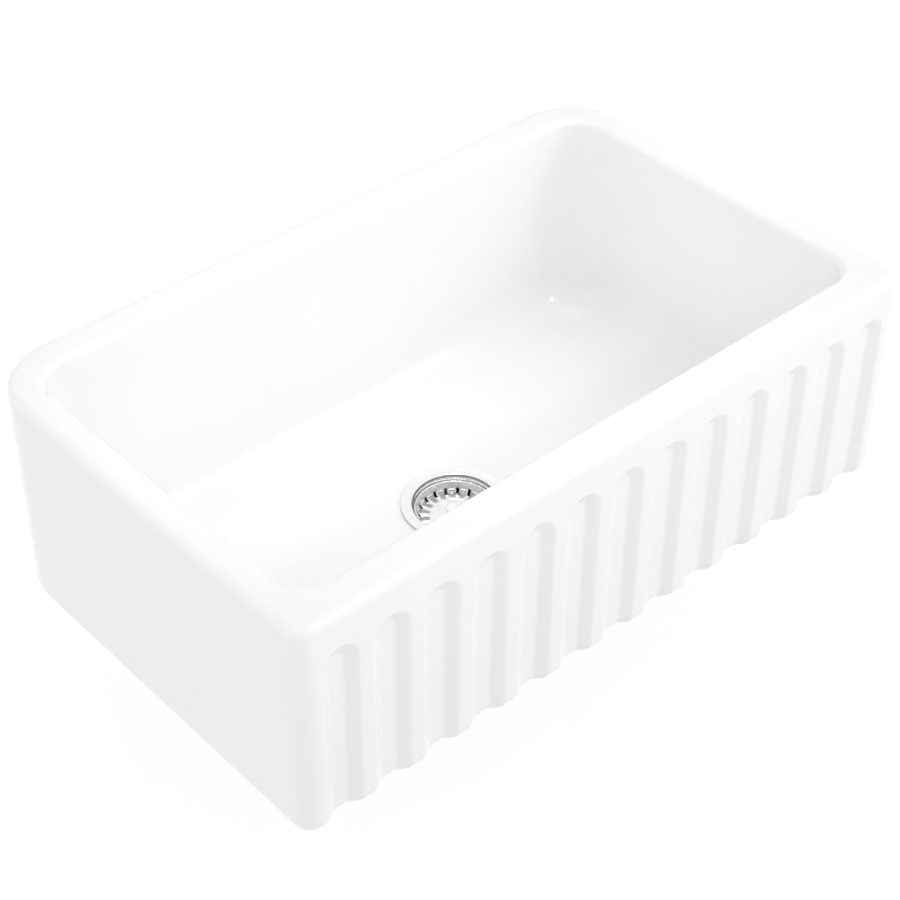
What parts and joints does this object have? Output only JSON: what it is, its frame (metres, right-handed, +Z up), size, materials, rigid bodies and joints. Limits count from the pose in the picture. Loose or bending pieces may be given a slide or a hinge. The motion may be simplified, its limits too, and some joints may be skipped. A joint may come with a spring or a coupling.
{
  "type": "farmhouse apron front sink",
  "caption": "White fireclay kitchen sink with a deep rounded bowl, a fluted apron front and a basket strainer waste whose stopper slides up and down.",
  "frame": {"origin": "on the drain's axis, in the plane of the level underside that the sink rests on", "axes": "+X along the apron, to the right as seen from the front; +Y from the apron to the wall; +Z up"},
  "size_m": [0.762, 0.463, 0.416],
  "materials": {
    "glaze": "thick glossy white glaze over fireclay",
    "polished_steel": "polished stainless steel",
    "brushed_steel": "satin stainless steel",
    "chrome": "bright chrome plate",
    "brass": "turned brass",
    "black_rubber": "matt black rubber",
    "pale_gasket": "off-white soft gasket",
    "fibre": "red-brown vulcanised fibre"
  },
  "bodies": {
    "sink": {"fireclay_basin": "glaze", "strainer_cup": "polished_steel", "flange_gasket": "pale_gasket", "outlet_nipple": "brass", "under_gasket": "black_rubber", "outer_cup": "brushed_steel", "cup_seal": "black_rubber", "slip_washer": "fibre", "locknut": "brass", "tailpiece_washer": "pale_gasket", "tailpiece": "chrome", "coupling_nut": "chrome"},
    "basket_unit": {"basket": "polished_steel", "basket_bush": "brass", "bush_nut": "brass", "detent_ring": "brushed_steel"},
    "stopper_unit": {"stopper_stem": "brushed_steel", "knob": "polished_steel", "stopper_plate": "brushed_steel", "stopper_seal": "black_rubber", "stem_nut": "brass"}
  },
  "joints": [
    {"name": "basket_lift", "type": "slide", "parent": "sink", "child": "basket_unit", "axis": [0, 0, 1], "range_m": [0, 0.3]},
    {"name": "stopper_lift", "type": "slide", "parent": "basket_unit", "child": "stopper_unit", "axis": [0, 0, 1], "range_m": [0, 0.008]}
  ]
}
